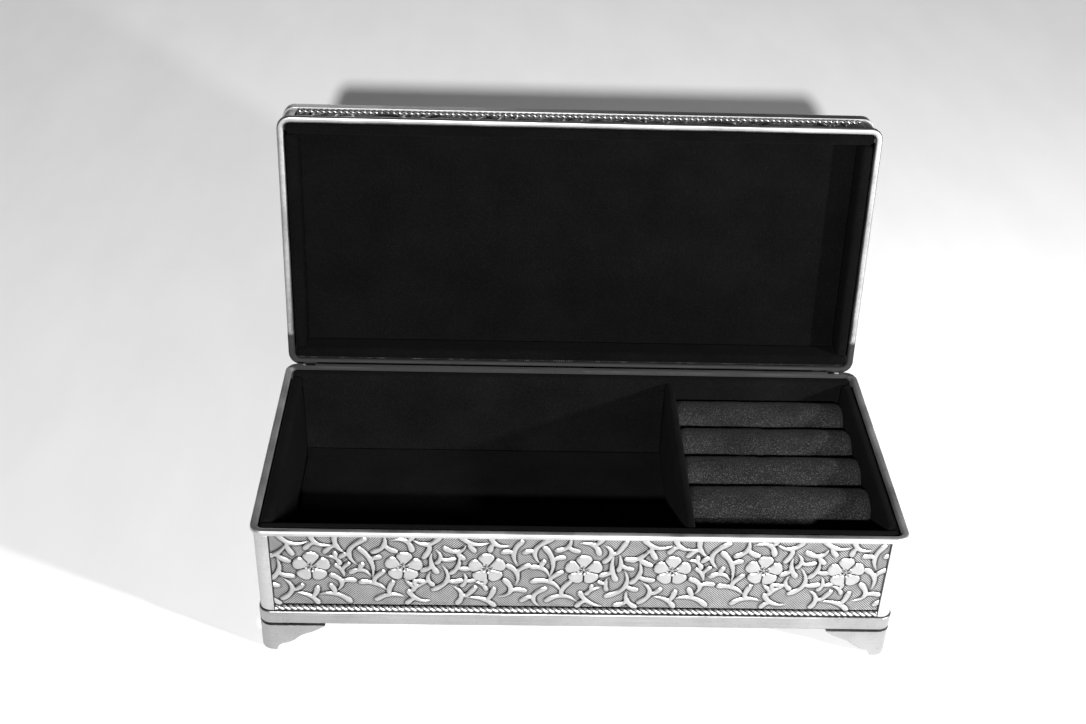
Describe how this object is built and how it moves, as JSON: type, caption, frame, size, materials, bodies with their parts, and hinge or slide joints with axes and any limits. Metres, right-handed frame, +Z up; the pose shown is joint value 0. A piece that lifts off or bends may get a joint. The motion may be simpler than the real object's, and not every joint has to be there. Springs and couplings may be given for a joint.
{
  "type": "vanity trinket box",
  "caption": "Silver-plated trinket box with floral relief walls, bracket feet, a hinged lid that stands open, and a black velvet lining with a plain bay and a ring-roll bay.",
  "frame": {"origin": "middle of the underside of the whole box at rest, lid open: on the table, half way along the length and half way between the front rim and the back of the open lid", "axes": "+X to the right along the length, -Y towards the front that a person faces, +Z up"},
  "size_m": [0.22, 0.1344, 0.1482],
  "materials": {
    "bright_silver": "smooth antique silver plate",
    "satin_silver": "brushed satin silver plate",
    "oxidised_silver": "silver plate, dark in the recesses and polished on the relief",
    "hinge_steel": "drawn wire",
    "black_velvet": "short-pile velvet over card and foam",
    "roll_velour": "velour over foam rolls, with a fine sparkle",
    "black_card": "black card",
    "base_velvet": "thin velvet sheet glued under the base"
  },
  "bodies": {
    "box": {"top_rim": "bright_silver", "front_panel": "oxidised_silver", "right_panel": "oxidised_silver", "back_panel": "oxidised_silver", "left_panel": "oxidised_silver", "corner_post_front_left": "bright_silver", "corner_post_front_right": "bright_silver", "corner_post_back_right": "bright_silver", "corner_post_back_left": "bright_silver", "rope_front": "oxidised_silver", "rope_right": "oxidised_silver", "rope_back": "oxidised_silver", "rope_left": "oxidised_silver", "plinth": "satin_silver", "base_plate": "satin_silver", "base_felt": "base_velvet", "foot_front_left": "satin_silver", "foot_front_right": "satin_silver", "foot_back_right": "satin_silver", "foot_back_left": "satin_silver", "hinge_block_left": "satin_silver", "hinge_block_right": "satin_silver", "hinge_pin_left": "hinge_steel", "hinge_pin_right": "hinge_steel", "lining_front": "black_velvet", "lining_right": "black_velvet", "lining_back": "black_velvet", "lining_left": "black_velvet", "floor_pad": "black_velvet", "divider": "black_velvet", "ring_tray": "black_card", "ring_roll_1": "roll_velour", "ring_roll_2": "roll_velour", "ring_roll_3": "roll_velour", "ring_roll_4": "roll_velour"},
    "lid": {"lid_lug_left": "bright_silver", "lid_lug_right": "bright_silver", "lid_rim": "bright_silver", "lid_band_front": "oxidised_silver", "lid_band_right": "oxidised_silver", "lid_band_back": "oxidised_silver", "lid_band_left": "oxidised_silver", "lid_post_front_left": "bright_silver", "lid_post_front_right": "bright_silver", "lid_post_back_right": "bright_silver", "lid_post_back_left": "bright_silver", "lid_rope_front": "oxidised_silver", "lid_rope_right": "oxidised_silver", "lid_rope_back": "oxidised_silver", "lid_rope_left": "oxidised_silver", "lid_cover": "bright_silver", "lid_top_panel": "oxidised_silver", "lid_pad": "black_velvet", "lid_lining_front": "black_velvet", "lid_lining_right": "black_velvet", "lid_lining_back": "black_velvet", "lid_lining_left": "black_velvet"}
  },
  "joints": [
    {"name": "lid_hinge", "type": "hinge", "parent": "box", "child": "lid", "pos_m": [0, 0.0325, 0.05027], "axis": [1, 0, 0], "range_deg": [0, 97.8]}
  ]
}
